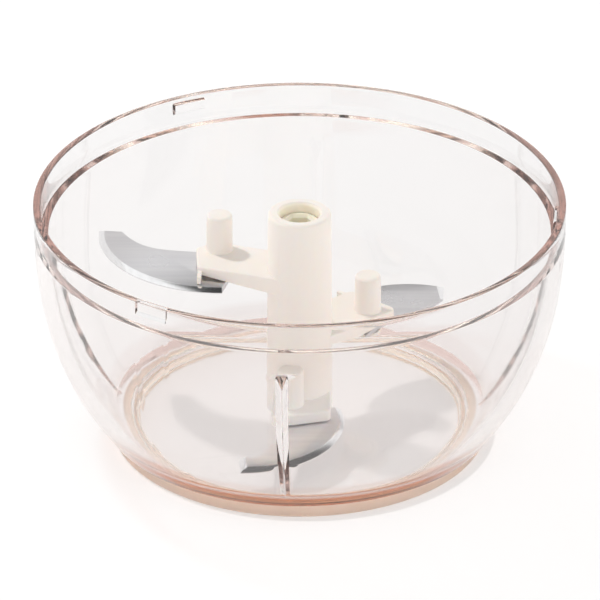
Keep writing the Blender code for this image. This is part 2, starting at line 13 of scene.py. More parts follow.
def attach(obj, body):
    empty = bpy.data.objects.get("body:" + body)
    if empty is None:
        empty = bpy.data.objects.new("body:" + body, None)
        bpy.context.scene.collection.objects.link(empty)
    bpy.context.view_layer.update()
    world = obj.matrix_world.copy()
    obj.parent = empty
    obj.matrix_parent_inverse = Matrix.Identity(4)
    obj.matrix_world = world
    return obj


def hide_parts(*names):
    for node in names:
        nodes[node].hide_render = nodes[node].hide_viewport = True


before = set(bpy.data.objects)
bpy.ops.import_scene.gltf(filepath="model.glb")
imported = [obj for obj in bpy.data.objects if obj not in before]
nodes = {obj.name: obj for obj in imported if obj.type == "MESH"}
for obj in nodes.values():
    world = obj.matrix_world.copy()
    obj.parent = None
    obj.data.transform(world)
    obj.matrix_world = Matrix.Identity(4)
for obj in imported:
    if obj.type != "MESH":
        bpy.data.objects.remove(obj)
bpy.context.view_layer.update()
scene = bpy.context.scene
scene.view_settings.view_transform = "Standard"

# Clearance between separate pieces
SEAT_GAP = 0.0003

# Bowl, its wall as far in as WALL from an outer curve that swells by a power of the depth
BOWL_H = 0.063
RIM_R = 0.0655
CORNER_R = 0.0487
CORNER_Z = 0.0045
WALL_SWELL = 2.7
WALL = 0.0036
LEDGE_Z = 0.0553
COLLAR_R = 0.0637
FLOOR_TOP = 0.0052
FLOOR_T = 0.0020
FLAT_R = 0.037
FILLET_R = 0.0108
BOSS_R = 0.0040
BOSS_H = 0.0060
PIN_HOLE_R = 0.0023
PIN_HOLE_Z = 0.0040

# Foot rib and the ring round it
FOOT_RIB_R = 0.0430
FOOT_RIB_T = 0.0016
RING_R = 0.0464
RING_LIP_T = 0.0009

# Four upright ribs on the wall, deepest at RIB_FACET and run out at RIB_TOP. RIB_NOSE is the part
# of the half width that is blunt, and a rib's foot ends outside RIB_INNER_R.
RIB_AZIMUTHS = (-94, -4, 86, 176)
RIB_HALF = 0.0015
RIB_DEPTH = 0.0024
RIB_FOOT_DEPTH = 0.0004
RIB_TOP = 0.0487
RIB_TOP_EDGE = 0.0002
RIB_FACET = 0.0431
RIB_FOOT = 0.0080
RIB_FOOT_SLOPE = 0.0008
RIB_NOSE = 0.07
RIB_WALL_R = 0.061
RIB_REACH = math.degrees(RIB_HALF / RIB_WALL_R)
RIB_INNER_R = 0.04

# Three lugs inside the collar, each rising over LUG_EDGE_TURN degrees at its ends
LUG_AZIMUTHS = (-124, -4, 116)
LUG_HALF = 0.0044
LUG_TOP = 0.0621
LUG_FOOT = 0.0588
LUG_DEPTH = 0.0010
LUG_EASE = 0.0009
LUG_EDGE = 0.00025
LUG_EDGE_TURN = 0.22
LUG_REACH = math.degrees(LUG_HALF / COLLAR_R)

# How finely the bowl is divided, and how near its even columns (degrees) and levels may come to the
# ones that a rib or a lug needs
BOWL_COLUMNS = 144
COLUMN_GAP = 0.7
WALL_SAMPLES = 44
WALL_GAP = 0.0004
FILLET_SAMPLES = 16
RIB_STEPS = 6
RIB_NOSE_STEP = 0.4
LUG_STEPS = 3

# Hub, its bores and the drive socket
HUB_TOP = 0.0602
HUB_FOOT = 0.0058
HUB_TOP_R = 0.0078
HUB_FOOT_R = 0.0082
SOCKET_R = 0.0047
SOCKET_BORE_R = 0.0050
SOCKET_TOP = 0.0577
SOCKET_FOOT = 0.0377
SOCKET_AF = 0.0062
SOCKET_CHAMFER = 0.0007
MOUTH_DEPTH = 0.0006
MOUTH_FLARE = 0.0016
CROWN_Z = 0.0302
SHOULDER_Z = 0.0126
BUSH_BORE_R = 0.0040
SKIRT_R = 0.0046
SKIRT_FLARE = 0.0008

# Arms, posts, lips and pegs
POST_R = 0.0033
POST_H = 0.0098
POST_TRAIL = 0.0045
POST_FOOT_R = 0.0040
POST_SUNK = 0.0008
ARM_TO_BLADE = 0.0033
ARM_ROOT_OUT = 0.0020
ARM_ROOT_INSET = 0.0006
ARM_CORNER = 0.0016
LIP_T = 0.0010
LIP_SETBACK = 0.12
LIP_REACH = 0.0034
LIP_SKEW = 0.0006
PAD_W = 0.0056
PEG_R = 0.0013
PEG_SPACING = 0.0062
PEG_HEAD_R = 0.0019
PEG_HEAD_T = 0.0006

# Blades and keepers
KEEPER_T = 0.0011
KEEPER_MARGIN = 0.0013
BLADE_T = 0.0010
BEVEL_W = 0.0014
EDGE_T = 0.0002

# How far up a face of the blade points where it is the ground edge
GROUND_LOW = 0.3
GROUND_HIGH = 0.98

# One entry for each blade. Distances are along the arm (out) and behind its radial line (trail).
TIERS = {
    "upper": dict(
        azimuth=164, arm_top=0.0445, tip_t=0.0022,
        arm_out_front=0.0245, arm_out_back=0.0278, arm_front=0.0059, arm_back=0.0080,
        arm_end_back=0.0040, post_out=0.0219,
        root_out=0.0170, root_lead=0.0102, root_back=0.0080, lead_r=0.0310, wall_gap=0.0012,
        tip_turn=13.2, tip_width=0.0052, tip_cut=170.9, waist=((0.37, 0.0105), (0.46, 0.0025)),
    ),
    "middle": dict(
        azimuth=44, arm_top=0.0277, tip_t=0.0022,
        arm_out_front=0.0235, arm_out_back=0.0248, arm_front=0.0059, arm_back=0.0092,
        arm_end_back=0.0092, post_out=0.0192,
        root_out=0.0143, root_lead=0.0070, root_back=0.0086, lead_r=0.0226, wall_gap=0.0082,
        tip_turn=4.6, tip_width=0.0066, tip_cut=135.8, waist=((0.52, -0.0030), (0.46, 0.0040)),
    ),
    "lower": dict(
        azimuth=-76, arm_top=0.0120, tip_t=0.0030,
        arm_out_front=0.0147, arm_out_back=0.0147, arm_front=0.0043, arm_back=0.0110,
        arm_end_back=0.0110, post_out=0.0088,
        root_out=0.0075, root_lead=0.0086, root_back=0.0082, lead_r=0.0244, wall_gap=0.0079,
        tip_turn=35.5, tip_width=0.0054, tip_cut=188.5, waist=((0.10, 0.0035), (0.52, 0.0095)),
    ),
}

# Mesh limits: an edge that turns further than SHARP stays sharp, an arc at a corner takes at most
# EDGE_SHARE of the edges beside it, and a cutter ends CUT_PAST outside of what it cuts
SHARP = math.radians(32)
BOWL_SHARP = math.radians(38)
WELD = 1e-7
NO_AREA = 1e-14
NO_LENGTH = 1e-9
THINNEST_CORNER = 0.05
EDGE_SHARE = 0.48
CUT_PAST = 0.001


# Mesh helpers


def finish_mesh(name, bm, *paints, sharp=SHARP):
    """Turn a bmesh into an object that is smooth but for its sharp edges."""
    bmesh.ops.remove_doubles(bm, verts=bm.verts, dist=WELD)
    bmesh.ops.recalc_face_normals(bm, faces=bm.faces)
    for face in bm.faces:
        face.smooth = True
    for edge in bm.edges:
        edge.smooth = len(edge.link_faces) == 2 and edge.calc_face_angle(0.0) < sharp
    mesh = bpy.data.meshes.new(name)
    bm.to_mesh(mesh)
    bm.free()
    for paint in paints:
        mesh.materials.append(paint)
    obj = bpy.data.objects.new(name, mesh)
    scene.collection.objects.link(obj)
    return obj


def softened(points, steps=4):
    """A closed outline of (x, y, radius), each corner replaced by an arc of its radius."""
    outline = []
    count = len(points)
    for i, (x, y, radius) in enumerate(points):
        here = Vector((x, y))
        if radius <= 0:
            outline.append(tuple(here))
            continue
        before = Vector(points[i - 1][:2]) - here
        after = Vector(points[(i + 1) % count][:2]) - here
        half = max(before.angle(after) / 2, THINNEST_CORNER)
        reach = min(radius / math.tan(half), before.length * EDGE_SHARE, after.length * EDGE_SHARE)
        radius = reach * math.tan(half)
        inward = (before.normalized() + after.normalized()).normalized()
        middle = here + inward * (radius / math.sin(half))
        start = here + before.normalized() * reach - middle
        end = here + after.normalized() * reach - middle
        turn = start.angle_signed(end)
        for k in range(steps + 1):
            angle = -turn * k / steps
            c, s = math.cos(angle), math.sin(angle)
            outline.append((
                middle.x + start.x * c - start.y * s,
                middle.y + start.x * s + start.y * c,
            ))
    return outline


def ring_surface(bm, rows, closed=True):
    """Skin rows of equal point counts; each row and, if closed, the last to the first."""
    made = [[bm.verts.new(point) for point in row] for row in rows]
    pairs = list(zip(made, made[1:])) + ([(made[-1], made[0])] if closed else [])
    for low, high in pairs:
        for i, _ in enumerate(low):
            j = (i + 1) % len(low)
            bm.faces.new((low[i], low[j], high[j], high[i]))
    return made


def turned(name, profile, *paints, segments=96, steps=4):
    """Turn an outline of (radius, height, corner radius) round Z."""
    outline = softened(profile, steps)
    bm = bmesh.new()
    rows = []
    for k in range(segments):
        angle = 2 * math.pi * k / segments
        c, s = math.cos(angle), math.sin(angle)
        rows.append([(max(r, 0.0) * c, max(r, 0.0) * s, z) for r, z in outline])
    ring_surface(bm, rows)
    weld_axis(bm)
    return finish_mesh(name, bm, *paints)


def weld_axis(bm):
    """Join what meets the axis and drop the faces that are left with no width."""
    bmesh.ops.remove_doubles(bm, verts=bm.verts, dist=WELD)
    flat = [face for face in bm.faces if face.calc_area() < NO_AREA]
    bmesh.ops.delete(bm, geom=flat, context="FACES")
    loose = [edge for edge in bm.edges if not edge.link_faces]
    bmesh.ops.delete(bm, geom=loose, context="EDGES")
    lone = [vert for vert in bm.verts if not vert.link_edges]
    bmesh.ops.delete(bm, geom=lone, context="VERTS")


def lofted(name, rings, *paints):
    """Skin rings from the lowest to the highest and close both ends."""
    bm = bmesh.new()
    made = ring_surface(bm, rings, closed=False)
    bm.faces.new(list(reversed(made[0])))
    bm.faces.new(made[-1])
    return finish_mesh(name, bm, *paints)


def applied(obj):
    """Apply the object's modifiers and shade the result again."""
    graph = bpy.context.evaluated_depsgraph_get()
    bm = bmesh.new()
    bm.from_mesh(bpy.data.meshes.new_from_object(obj.evaluated_get(graph)))
    name = obj.name
    paints = list(obj.data.materials)
    bpy.data.objects.remove(obj)
    return finish_mesh(name, bm, *paints)


def combine(obj, others, operation):
    """Join the others to obj, or cut them out of it, and remove them."""
    for other in others:
        step = obj.modifiers.new(other.name, "BOOLEAN")
        step.operation = operation
        step.solver = "MANIFOLD"
        step.object = other
    result = applied(obj)
    for other in others:
        bpy.data.objects.remove(other)
    return result


# Materials


class Paint:
    """A node material under construction."""

    def __init__(self, name, colour, roughness, **inputs):
        self.material = bpy.data.materials.new(name)
        self.material.use_nodes = True
        self.tree = self.material.node_tree
        self.shader = self.tree.nodes["Principled BSDF"]
        self.out = self.tree.nodes["Material Output"]
        self.set("Base Color", (*colour, 1.0))
        self.set("Roughness", roughness)
        for key, value in inputs.items():
            self.set(key.replace("_", " "), value)
        self.place = self.node("ShaderNodeTexCoord").outputs["Object"]

    def set(self, socket, value):
        self.shader.inputs[socket].default_value = value

    def node(self, kind, **settings):
        made = self.tree.nodes.new(kind)
        for key, value in settings.items():
            setattr(made, key, value)
        return made

    def link(self, source, target):
        self.tree.links.new(source, target)

    def stretched(self, scale, turn=0.0):
        """Object coordinates turned about Z and scaled on each axis."""
        mapping = self.node("ShaderNodeMapping", vector_type="POINT")
        mapping.inputs["Rotation"].default_value = (0.0, 0.0, turn)
        mapping.inputs["Scale"].default_value = scale
        self.link(self.place, mapping.inputs["Vector"])
        return mapping.outputs["Vector"]

    def noise(self, scale, detail=3.0, vector=None, distortion=0.0):
        made = self.node("ShaderNodeTexNoise")
        made.inputs["Scale"].default_value = scale
        made.inputs["Detail"].default_value = detail
        made.inputs["Distortion"].default_value = distortion
        self.link(vector or self.place, made.inputs["Vector"])
        return made.outputs["Fac"]

    def span(self, value, low, high, start=0.3, end=0.7):
        """Map a value from start..end to low..high."""
        made = self.node("ShaderNodeMapRange")
        made.inputs["From Min"].default_value = start
        made.inputs["From Max"].default_value = end
        made.inputs["To Min"].default_value = low
        made.inputs["To Max"].default_value = high
        self.link(value, made.inputs["Value"])
        return made.outputs["Result"]

    def mixed(self, factor, first, second):
        made = self.node("ShaderNodeMix", data_type="RGBA")
        colours = [socket for socket in made.inputs if socket.type == "RGBA"]
        for socket, value in zip(colours, (first, second)):
            if isinstance(value, tuple):
                socket.default_value = (*value, 1.0)
            else:
                self.link(value, socket)
        self.link(factor, made.inputs["Factor"])
        return [socket for socket in made.outputs if socket.type == "RGBA"][0]

    def math(self, operation, first, second):
        made = self.node("ShaderNodeMath", operation=operation)
        for socket, value in zip(made.inputs, (first, second)):
            if isinstance(value, float):
                socket.default_value = value
            else:
                self.link(value, socket)
        return made.outputs[0]

    def axis(self, name):
        """An object coordinate: X, Y or Z, or R for the distance from the Z axis."""
        split = self.node("ShaderNodeSeparateXYZ")
        self.link(self.place, split.inputs[0])
        if name != "R":
            return split.outputs[name]
        squares = [self.math("MULTIPLY", split.outputs[a], split.outputs[a]) for a in "XY"]
        return self.math("SQRT", self.math("ADD", *squares), 0.0)

    def blend(self, factor, other):
        """Show the other shader in place of the main one as far as the factor says."""
        made = self.node("ShaderNodeMixShader")
        self.link(factor, made.inputs["Fac"])
        self.link(self.shader.outputs["BSDF"], made.inputs[1])
        self.link(other.outputs[0], made.inputs[2])
        self.link(made.outputs[0], self.out.inputs["Surface"])

    def glow(self, colour, strength):
        """Add light of its own to the main shader."""
        light = self.node("ShaderNodeEmission")
        light.inputs["Color"].default_value = (*colour, 1.0)
        self.link(strength, light.inputs["Strength"])
        made = self.node("ShaderNodeAddShader")
        self.link(self.shader.outputs["BSDF"], made.inputs[0])
        self.link(light.outputs[0], made.inputs[1])
        self.link(made.outputs[0], self.out.inputs["Surface"])

    def colour(self, value):
        self.link(value, self.shader.inputs["Base Color"])

    def roughness(self, value):
        self.link(value, self.shader.inputs["Roughness"])

    def bump(self, *layers):
        """Layers of (height, strength, distance), each on the one before."""
        normal = None
        for height, strength, distance in layers:
            made = self.node("ShaderNodeBump")
            made.inputs["Strength"].default_value = strength
            made.inputs["Distance"].default_value = distance
            self.link(height, made.inputs["Height"])
            if normal is not None:
                self.link(normal, made.inputs["Normal"])
            normal = made.outputs["Normal"]
        self.link(normal, self.shader.inputs["Normal"])


# The bowl's plastic at its surface, in its depth, and to the rays that go straight through
CLEAR = (0.985, 0.983, 0.983)
DEPTH_TINT = (0.73, 0.24, 0.08)
DEPTH_DENSITY = 7.0
STRAIGHT_THROUGH = (0.985, 0.972, 0.968)

# Painted light: amber painted on the bowl's lower outside edge, for light that ran long through the
# wall; it fades upwards, inwards and towards the back
PAINTED_AMBER_LIGHT = (0.46, 0.09, 0.02)
PAINTED_AMBER_Z = (0.0076, 0.0090)
PAINTED_AMBER_R = (0.0462, 0.0480)
PAINTED_AMBER_Y = (-0.040, -0.008)
PAINTED_AMBER_AT_BACK = 0.12

# Painted glow: light of its own that the foot ring gives off to rays that went round many times in the
# wall
RING_GLOW = 0.56
RING_GLOW_COLOUR = (0.50, 0.90, 1.0)
DEEP_RAY = (6.0, 10.0)

# Painted light: the hub is painted paler low down, and its bore a paler, yellower colour
PAINTED_LIGHT_Z = (0.004, 0.022)
PAINTED_BORE_LIGHT_R = (0.0051, 0.0056)

# Painted light: each blade's steel is painted brighter or darker than the others, for the light it
# mirrors
STEEL_PAINTED_LIGHT = {"upper": 1.0, "middle": 0.93, "lower": 1.18}


def clear_plastic():
    """Rose-tinted clear plastic: the tint is in the depth of the wall, so edges look deeper.

    Shadow and diffuse rays go straight through it, in place of the light that it would gather.
    """
    p = Paint("clear rose plastic", CLEAR, 0.02, Transmission_Weight=1.0, IOR=1.5)
    # Painted light: the amber of the lower outside edge, weaker towards the back
    low = p.span(p.axis("Z"), 1.0, 0.0, *PAINTED_AMBER_Z)
    wide = p.span(p.axis("R"), 0.0, 1.0, *PAINTED_AMBER_R)
    near = p.span(p.axis("Y"), 1.0, PAINTED_AMBER_AT_BACK, *PAINTED_AMBER_Y)
    p.colour(p.mixed(p.math("MULTIPLY", p.math("MULTIPLY", low, wide), near), CLEAR, PAINTED_AMBER_LIGHT))
    p.roughness(p.span(p.noise(60.0, 4.0), 0.01, 0.045))
    p.bump((p.noise(90.0, 2.0), 0.04, 0.0004))
    absorb = p.node("ShaderNodeVolumeAbsorption")
    absorb.inputs["Color"].default_value = (*DEPTH_TINT, 1.0)
    absorb.inputs["Density"].default_value = DEPTH_DENSITY
    p.link(absorb.outputs["Volume"], p.out.inputs["Volume"])
    path = p.node("ShaderNodeLightPath")
    through = p.node("ShaderNodeBsdfTransparent")
    through.inputs["Color"].default_value = (*STRAIGHT_THROUGH, 1.0)
    straight = p.math("MAXIMUM", path.outputs["Is Shadow Ray"], path.outputs["Is Diffuse Ray"])
    p.blend(straight, through)
    return p.material


def ring_rubber():
    """Translucent elastic, milky with a fine grain, with a painted glow."""
    p = Paint(
        "translucent foot rubber", (0.96, 0.84, 0.75), 0.42,
        Transmission_Weight=0.55, IOR=1.41, Subsurface_Weight=0.3,
    )
    p.set("Subsurface Radius", (0.003, 0.0022, 0.0016))
    p.colour(p.mixed(p.span(p.noise(140.0), 0, 1), (0.97, 0.79, 0.68), (0.95, 0.75, 0.63)))
    p.bump((p.noise(2600.0, 2.0), 0.12, 0.0001))
    # Painted glow: the ring gives off light of its own to rays that have bounced many times
    path = p.node("ShaderNodeLightPath")
    p.glow(RING_GLOW_COLOUR, p.span(path.outputs["Ray Depth"], 0.0, RING_GLOW, *DEEP_RAY))
    return p.material


def moulded(name, colour, shade, roughness=0.36, scatter=0.35, pale=None, inside=None):
    """Satin moulded plastic that lets some light in, with painted light: paler low down and in its
    bore.
    """
    p = Paint(name, colour, roughness, Subsurface_Weight=scatter, IOR=1.48)
    p.set("Subsurface Radius", (0.0036, 0.0022, 0.0014))
    flow = p.noise(55.0, 3.0, p.stretched((1.0, 1.0, 0.35)), 0.6)
    # Painted light: masks for the paler foot and for the paler, yellower bore
    low = p.span(p.axis("Z"), 1.0, 0.0, *PAINTED_LIGHT_Z)
    bore = p.span(p.axis("R"), 1.0, 0.0, *PAINTED_BORE_LIGHT_R)
    skin = p.mixed(low, p.mixed(p.span(flow, 0, 1), colour, shade), pale or colour)
    p.colour(p.mixed(bore, skin, inside or colour))
    p.roughness(p.span(p.noise(320.0, 4.0), roughness - 0.06, roughness + 0.08))
    p.bump((p.noise(38.0, 1.0), 0.06, 0.0006), (p.noise(2400.0, 3.0), 0.10, 0.00008))
    return p.material


def sheet_steel(name, turn, painted_brightness=1.0):
    """Satin blade steel with fine brushed lines along the blade, its colour scaled by a painted
    brightness.
    """
    p = Paint(name, (0.62, 0.61, 0.62), 0.30, Metallic=1.0)
    lines = p.noise(420.0, 4.0, p.stretched((0.06, 1.6, 1.0), turn))
    fine = p.noise(1500.0, 3.0, p.stretched((0.05, 1.4, 1.0), turn))
    cloud = p.noise(70.0, 3.0)
    # Painted light: both line colours are scaled by this blade's painted brightness
    shades = ((0.68, 0.67, 0.685), (0.74, 0.73, 0.735))
    dark, pale = (tuple(painted_brightness * channel for channel in shade) for shade in shades)
    p.colour(p.mixed(p.span(lines, 0, 1), dark, pale))
    p.roughness(p.span(cloud, 0.24, 0.38, 0.1, 0.9))
    p.bump((lines, 0.05, 0.0002), (fine, 0.08, 0.00008))
    return p.material


def ground_steel(name, turn):
    """The ground edge: brighter, with short lines across the edge."""
    p = Paint(name, (0.86, 0.86, 0.87), 0.14, Metallic=1.0)
    lines = p.noise(900.0, 3.0, p.stretched((1.4, 0.2, 1.0), turn))
    p.colour(p.mixed(p.span(lines, 0, 1), (0.90, 0.90, 0.905), (0.95, 0.95, 0.955)))
    p.roughness(p.span(p.noise(300.0, 3.0), 0.10, 0.2))
    p.bump((lines, 0.06, 0.0001))
    return p.material


def pin_steel():
    """Ground steel with fine lines round the pin."""
    p = Paint("spindle steel", (0.60, 0.60, 0.60), 0.22, Metallic=1.0)
    lines = p.noise(1200.0, 3.0, p.stretched((0.2, 0.2, 2.0)))
    p.roughness(p.span(lines, 0.16, 0.30))
    p.bump((lines, 0.05, 0.00008))
    return p.material


# Bowl


def outer_r(z):
    """The bowl's outer radius at this height."""
    drop = (BOWL_H - z) / (BOWL_H - CORNER_Z)
    return RIM_R - (RIM_R - CORNER_R) * max(drop, 0.0) ** WALL_SWELL


def moved_in(z, distance):
    """The point that lies this far inside the outer curve's point at height z."""
    step = 0.0001
    slope = (outer_r(z + step) - outer_r(z - step)) / (2 * step)
    length = math.hypot(1.0, slope)
    return outer_r(z) - distance / length, z + distance * slope / length


def height_where(distance, height, rounds=40):
    """The height on the outer curve whose moved-in point lies at the given height."""
    low, high = CORNER_Z - BOWL_H, BOWL_H
    for _ in range(rounds):
        middle = (low + high) / 2
        if moved_in(middle, distance)[1] < height:
            low = middle
        else:
            high = middle
    return middle


def bowl_outline():
    """The bowl's closed section as (radius, height, corner radius)."""
    points = [
        (0.0, PIN_HOLE_Z, 0),
        (PIN_HOLE_R, PIN_HOLE_Z, 0),
        (PIN_HOLE_R, FLOOR_TOP + BOSS_H, 0.0002),
        (BOSS_R, FLOOR_TOP + BOSS_H, 0.0003),
        (BOSS_R, FLOOR_TOP, 0.0005),
    ]
    points += [(BOSS_R + (FLAT_R - BOSS_R) * k / 6, FLOOR_TOP, 0) for k in range(1, 7)]
    centre_z = FLOOR_TOP + FILLET_R
    tangent = height_where(WALL + FILLET_R, centre_z)
    centre_r = moved_in(tangent, WALL + FILLET_R)[0]
    touch_r, touch_z = moved_in(tangent, WALL)
    end = math.atan2(touch_z - centre_z, touch_r - centre_r)
    for k in range(FILLET_SAMPLES + 1):
        angle = -math.pi / 2 + (end + math.pi / 2) * k / FILLET_SAMPLES
        c, s = math.cos(angle), math.sin(angle)
        points.append((centre_r + FILLET_R * c, centre_z + FILLET_R * s, 0))
    ledge = height_where(WALL, LEDGE_Z)
    levels = [tangent + (ledge - tangent) * k / WALL_SAMPLES for k in range(1, WALL_SAMPLES)]
    marks = [height_where(WALL, z) for z in (RIB_FACET, RIB_TOP, RIB_TOP + RIB_TOP_EDGE)]
    levels = [z for z in levels if min(abs(z - mark) for mark in marks) > WALL_GAP]
    points += [(*moved_in(z, WALL), 0) for z in sorted(levels + marks)]
    points.append((*moved_in(ledge, WALL), 0.00012))
    points.append((COLLAR_R, LEDGE_Z, 0.0002))
    lug_middle = (LUG_FOOT + LUG_TOP) / 2
    for z in (LUG_FOOT, LUG_FOOT + LUG_EASE, lug_middle, LUG_TOP - LUG_EDGE, LUG_TOP):
        points.append((COLLAR_R, z, 0))
    points += [(COLLAR_R, BOWL_H, 0.0002), (RIM_R, BOWL_H, 0.00025)]
    for k in range(1, WALL_SAMPLES):
        z = BOWL_H - (BOWL_H - CORNER_Z) * k / WALL_SAMPLES
        points.append((outer_r(z), z, 0))
    under = FLOOR_TOP - FLOOR_T
    foot_z = RING_LIP_T + SEAT_GAP
    points += [
        (CORNER_R, CORNER_Z, 0.0002),
        (FOOT_RIB_R, CORNER_Z, 0.0003),
        (FOOT_RIB_R, foot_z, 0.0003),
        (FOOT_RIB_R - FOOT_RIB_T, foot_z, 0.0003),
        (FOOT_RIB_R - FOOT_RIB_T, under, 0.0004),
    ]
    points += [(FLAT_R * (1 - k / 5), under, 0) for k in range(6)]
    return points


def ramp(value, start, end):
    """0 at the start and before it, 1 at the end and past it."""
    return min(max((value - start) / (end - start), 0.0), 1.0)


def rib_depth(z, away):
    """How far a rib stands out of the wall at this height, away (0..1) from its middle."""
    share = ramp(z, RIB_FOOT, RIB_FACET)
    depth = RIB_FOOT_DEPTH + (RIB_DEPTH - RIB_FOOT_DEPTH) * share
    depth *= ramp(z, RIB_FOOT - RIB_FOOT_SLOPE, RIB_FOOT)
    return depth * min(1 - away, 1 - ramp(z, RIB_FACET, RIB_TOP))


def lug_depth(z, on_lug):
    """How far a lug stands out of the collar at this height, on_lug (0..1) at its ends."""
    rise = ramp(z, LUG_FOOT, LUG_FOOT + LUG_EASE)
    return LUG_DEPTH * on_lug * rise * (1 - ramp(z, LUG_TOP - LUG_EDGE, LUG_TOP))


def apart(first, second):
    """Degrees between two azimuths."""
    return abs((first - second + 180) % 360 - 180)


def bowl_columns():
    """Azimuths in degrees, closer together at the ribs and the lugs."""
    rib_steps = [*range(-RIB_STEPS, RIB_STEPS + 1), -RIB_NOSE_STEP, RIB_NOSE_STEP]
    rib_offsets = [RIB_REACH * k / RIB_STEPS for k in rib_steps]
    lug_offsets = [side * (LUG_REACH + d) for side in (-1, 1) for d in (-LUG_EDGE_TURN, 0.0)]
    lug_offsets += [LUG_REACH * k / LUG_STEPS for k in range(1 - LUG_STEPS, LUG_STEPS)]
    fine = [(centre + offset) % 360 for centre in RIB_AZIMUTHS for offset in rib_offsets]
    fine += [(centre + offset) % 360 for centre in LUG_AZIMUTHS for offset in lug_offsets]
    columns = [round(k * 360 / BOWL_COLUMNS, 4) for k in range(BOWL_COLUMNS)]
    kept = [a for a in columns if min(apart(a, f) for f in fine) > COLUMN_GAP]
    return sorted(set(round(a, 5) for a in kept + fine))


def build_bowl(paint):
    """The bowl in one skin: its section set up in each column, with ribs and lugs drawn inwards."""
    outline = softened(bowl_outline())
    peak = max(range(len(outline)), key=lambda i: outline[i][1])
    rows = []
    for azimuth in bowl_columns():
        away = min(apart(azimuth, centre) for centre in RIB_AZIMUTHS) / RIB_REACH
        lug_gap = min(apart(azimuth, centre) for centre in LUG_AZIMUTHS)
        on_lug = 1 - ramp(lug_gap, LUG_REACH - LUG_EDGE_TURN, LUG_REACH)
        c, s = math.cos(math.radians(azimuth)), math.sin(math.radians(azimuth))
        row = []
        for i, (r, z) in enumerate(outline):
            if i < peak and away < 1 and r > RIB_INNER_R and z < RIB_TOP:
                r -= rib_depth(z, max(away, RIB_NOSE))
            elif i < peak and on_lug and z > LEDGE_Z:
                r -= lug_depth(z, on_lug)
            row.append((r * c, r * s, z))
        rows.append(row)
    bm = bmesh.new()
    ring_surface(bm, rows)
    weld_axis(bm)
    return finish_mesh("clear_bowl", bm, paint, sharp=BOWL_SHARP)


# Blade unit


def place(tier, point):
    """Turn a point (out, trail) of a tier to its azimuth."""
    out, trail = point
    turn = math.radians(tier["azimuth"])
    c, s = math.cos(turn), math.sin(turn)
    return out * c + trail * s, out * s - trail * c


def blade_top(tier):
    return tier["arm_top"] - ARM_TO_BLADE


def keeper_low(tier):
    return blade_top(tier) - BLADE_T - SEAT_GAP - KEEPER_T


def peg_points(tier):
    """The two pegs' places: one under the post, one ahead of it."""
    out = max(tier["post_out"], HUB_FOOT_R + SEAT_GAP + KEEPER_MARGIN + PEG_HEAD_R)
    return [(out, POST_TRAIL), (out, POST_TRAIL - PEG_SPACING)]


def inset(outline, distance):
    """Move each point of a closed outline inwards, square to the edges beside it."""
    count = len(outline)
    area = sum(a[0] * b[1] - b[0] * a[1] for a, b in zip(outline, [*outline[1:], outline[0]]))
    direction = 1.0 if area > 0 else -1.0
    ring = []
    for i, point in enumerate(outline):
        before = (Vector(point) - Vector(outline[i - 1])).normalized()
        after = (Vector(outline[(i + 1) % count]) - Vector(point)).normalized()
        across = Vector((-before.y - after.y, before.x + after.x))
        across = across.normalized() if across.length > NO_LENGTH else Vector((-after.y, after.x))
        ring.append(Vector(point) + across * distance * direction)
    return ring


def slab(name, outline, low, high, *paints, round_top=0.0, round_low=0.0, steps=3):
    """A prism whose top and bottom edges are rounded by insetting the outline."""
    turns = [math.pi / 2 * k / steps for k in range(steps + 1)]
    levels = [(0.0, low)]
    if round_low:
        levels = [(round_low * (1 - math.sin(t)), low + round_low * (1 - math.cos(t))) for t in turns]
    if round_top:
        levels += [(round_top * (1 - math.cos(t)), high - round_top * (1 - math.sin(t))) for t in turns]
    else:
        levels.append((0.0, high))
    rings = [[(p[0], p[1], z) for p in inset(outline, distance)] for distance, z in levels]
    return lofted(name, rings, *paints)


def arm_outline(tier):
    """The arm from above; where its end is narrower, the back slants in past the post."""
    share = (tier["arm_top"] - HUB_FOOT) / (HUB_TOP - HUB_FOOT)
    half = HUB_FOOT_R + (HUB_TOP_R - HUB_FOOT_R) * share - ARM_ROOT_INSET
    corners = [
        (ARM_ROOT_OUT, -half, 0.0003),
        (tier["arm_out_front"], -tier["arm_front"], ARM_CORNER),
        (tier["arm_out_back"], tier["arm_end_back"], ARM_CORNER),
    ]
    if tier["arm_back"] > tier["arm_end_back"]:
        corners.append((tier["post_out"] + POST_R * 0.6, tier["arm_back"], ARM_CORNER))
        corners.append((tier["post_out"] - POST_R, tier["arm_back"], ARM_CORNER))
    corners.append((ARM_ROOT_OUT, half, 0.0003))
    return [place(tier, point) for point in softened(corners, 6)]


def build_arm(name, tier, paint):
    """The arm: flat on top with eased edges, its underside rising towards the tip."""
    tip_z = tier["arm_top"] - tier["tip_t"]
    seat_z = blade_top(tier) + SEAT_GAP
    arm = slab(
        f"{name}_arm", arm_outline(tier), tip_z, tier["arm_top"], paint,
        round_top=0.0005, round_low=0.0002,
    )
    out_x, out_y = place(tier, (1.0, 0.0))
    fall = (tip_z - seat_z) / (tier["arm_out_front"] - tier["root_out"])
    middle = (tip_z + tier["arm_top"]) / 2
    for vertex in arm.data.vertices:
        if vertex.co.z < middle:
            out = vertex.co.x * out_x + vertex.co.y * out_y
            vertex.co.z -= max(tier["arm_out_front"] - out, 0.0) * fall
    return arm


